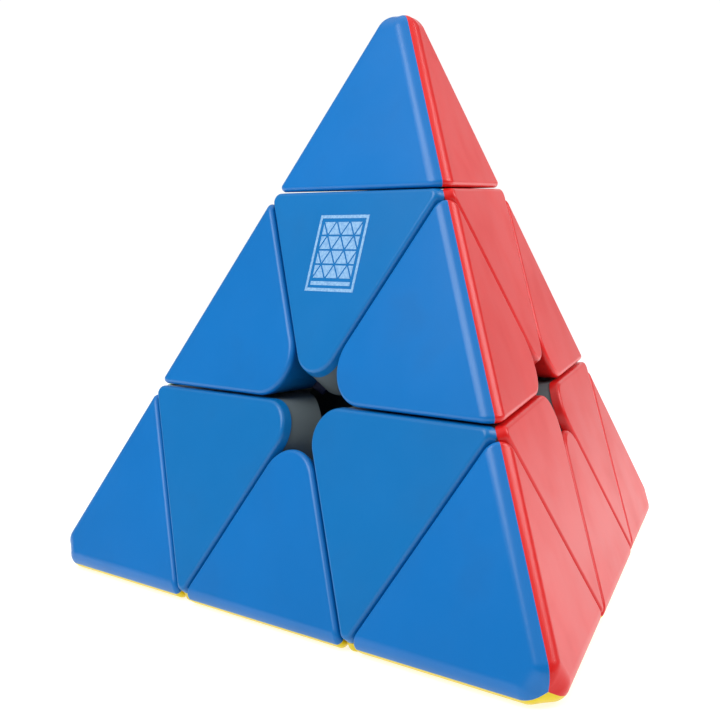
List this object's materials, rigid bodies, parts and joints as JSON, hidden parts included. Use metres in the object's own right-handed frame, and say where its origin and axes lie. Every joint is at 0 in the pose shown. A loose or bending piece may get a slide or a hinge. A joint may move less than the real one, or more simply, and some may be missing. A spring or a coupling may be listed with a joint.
{
  "type": "pyramid twisty puzzle",
  "caption": "Tetrahedral twisty puzzle with coloured panels, turning corner layers, turning tips and a spring-loaded core.",
  "frame": {"origin": "centre of the core, where the four turning axes meet", "axes": "+Z through the top tip, standing on the yellow face; -Y toward the front corner, +X to the right of it"},
  "size_m": [0.098, 0.0863, 0.081],
  "materials": {
    "blue_plastic": "satin moulded plastic",
    "red_plastic": "satin moulded plastic",
    "yellow_plastic": "satin moulded plastic",
    "green_plastic": "satin moulded plastic",
    "frame_plastic": "natural white plastic",
    "core_plastic": "dark low-friction plastic",
    "steel": "zinc plated"
  },
  "bodies": {
    "core": {"core_spider": "core_plastic", "axis_screws": "steel", "axis_washers": "steel", "axis_springs": "steel"},
    "axial_top": {"axial_top_frame": "frame_plastic", "axial_top_cap_blue": "blue_plastic", "axial_top_cap_red": "red_plastic", "axial_top_cap_green": "green_plastic"},
    "tip_top": {"tip_top_base": "frame_plastic", "tip_top_shell_blue": "blue_plastic", "tip_top_shell_red": "red_plastic", "tip_top_shell_green": "green_plastic"},
    "axial_left": {"axial_left_frame": "frame_plastic", "axial_left_cap_blue": "blue_plastic", "axial_left_cap_yellow": "yellow_plastic", "axial_left_cap_green": "green_plastic"},
    "tip_left": {"tip_left_base": "frame_plastic", "tip_left_shell_blue": "blue_plastic", "tip_left_shell_yellow": "yellow_plastic", "tip_left_shell_green": "green_plastic"},
    "axial_front": {"axial_front_frame": "frame_plastic", "axial_front_cap_blue": "blue_plastic", "axial_front_cap_red": "red_plastic", "axial_front_cap_yellow": "yellow_plastic"},
    "tip_front": {"tip_front_base": "frame_plastic", "tip_front_shell_blue": "blue_plastic", "tip_front_shell_red": "red_plastic", "tip_front_shell_yellow": "yellow_plastic"},
    "axial_right": {"axial_right_frame": "frame_plastic", "axial_right_cap_red": "red_plastic", "axial_right_cap_yellow": "yellow_plastic", "axial_right_cap_green": "green_plastic"},
    "tip_right": {"tip_right_base": "frame_plastic", "tip_right_shell_red": "red_plastic", "tip_right_shell_yellow": "yellow_plastic", "tip_right_shell_green": "green_plastic"},
    "edge_top_left": {"edge_top_left_foot": "core_plastic", "edge_top_left_shell_blue": "blue_plastic", "edge_top_left_shell_green": "green_plastic"},
    "edge_top_front": {"edge_top_front_foot": "core_plastic", "edge_top_front_shell_blue": "blue_plastic", "edge_top_front_shell_red": "red_plastic"},
    "edge_top_right": {"edge_top_right_foot": "core_plastic", "edge_top_right_shell_red": "red_plastic", "edge_top_right_shell_green": "green_plastic"},
    "edge_left_front": {"edge_left_front_foot": "core_plastic", "edge_left_front_shell_blue": "blue_plastic", "edge_left_front_shell_yellow": "yellow_plastic"},
    "edge_front_right": {"edge_front_right_foot": "core_plastic", "edge_front_right_shell_red": "red_plastic", "edge_front_right_shell_yellow": "yellow_plastic"},
    "edge_left_right": {"edge_left_right_foot": "core_plastic", "edge_left_right_shell_yellow": "yellow_plastic", "edge_left_right_shell_green": "green_plastic"}
  },
  "joints": [
    {"name": "layer_top_turn", "type": "hinge", "parent": "core", "child": "axial_top", "pos_m": [0, 0, 0], "axis": [0, 0, 1], "range_deg": [-240, 120]},
    {"name": "tip_top_turn", "type": "hinge", "parent": "axial_top", "child": "tip_top", "pos_m": [0, 0, 0], "axis": [0, 0, 1], "continuous": true},
    {"name": "layer_left_turn", "type": "hinge", "parent": "core", "child": "axial_left", "pos_m": [0, 0, 0], "axis": [-0.8165, 0.4714, -0.3333], "range_deg": [-240, 120]},
    {"name": "tip_left_turn", "type": "hinge", "parent": "axial_left", "child": "tip_left", "pos_m": [0, 0, 0], "axis": [-0.8165, 0.4714, -0.3333], "continuous": true},
    {"name": "layer_front_turn", "type": "hinge", "parent": "core", "child": "axial_front", "pos_m": [0, 0, 0], "axis": [0, -0.9428, -0.3333], "range_deg": [-240, 120]},
    {"name": "tip_front_turn", "type": "hinge", "parent": "axial_front", "child": "tip_front", "pos_m": [0, 0, 0], "axis": [0, -0.9428, -0.3333], "continuous": true},
    {"name": "layer_right_turn", "type": "hinge", "parent": "core", "child": "axial_right", "pos_m": [0, 0, 0], "axis": [0.8165, 0.4714, -0.3333], "range_deg": [-240, 120]},
    {"name": "tip_right_turn", "type": "hinge", "parent": "axial_right", "child": "tip_right", "pos_m": [0, 0, 0], "axis": [0.8165, 0.4714, -0.3333], "continuous": true},
    {"name": "edge_top_left_carried_by_left", "type": "hinge", "parent": "axial_top", "child": "edge_top_left", "pos_m": [0, 0, 0], "axis": [-0.8165, 0.4714, -0.3333], "range_deg": [-240, 120]},
    {"name": "edge_top_front_carried_by_front", "type": "hinge", "parent": "axial_top", "child": "edge_top_front", "pos_m": [0, 0, 0], "axis": [0, -0.9428, -0.3333], "range_deg": [-240, 120]},
    {"name": "edge_top_right_carried_by_right", "type": "hinge", "parent": "axial_top", "child": "edge_top_right", "pos_m": [0, 0, 0], "axis": [0.8165, 0.4714, -0.3333], "range_deg": [-240, 120]},
    {"name": "edge_left_front_carried_by_front", "type": "hinge", "parent": "axial_left", "child": "edge_left_front", "pos_m": [0, 0, 0], "axis": [0, -0.9428, -0.3333], "range_deg": [-240, 120]},
    {"name": "edge_front_right_carried_by_right", "type": "hinge", "parent": "axial_front", "child": "edge_front_right", "pos_m": [0, 0, 0], "axis": [0.8165, 0.4714, -0.3333], "range_deg": [-240, 120]},
    {"name": "edge_left_right_carried_by_left", "type": "hinge", "parent": "axial_right", "child": "edge_left_right", "pos_m": [0, 0, 0], "axis": [-0.8165, 0.4714, -0.3333], "range_deg": [-240, 120]}
  ],
  "couplings": [
    {"joint": "edge_top_left_carried_by_left", "follows": "layer_left_turn", "ratio": 1},
    {"joint": "edge_top_front_carried_by_front", "follows": "layer_front_turn", "ratio": 1},
    {"joint": "edge_top_right_carried_by_right", "follows": "layer_right_turn", "ratio": 1},
    {"joint": "edge_left_front_carried_by_front", "follows": "layer_front_turn", "ratio": 1},
    {"joint": "edge_front_right_carried_by_right", "follows": "layer_right_turn", "ratio": 1},
    {"joint": "edge_left_right_carried_by_left", "follows": "layer_left_turn", "ratio": 1}
  ]
}
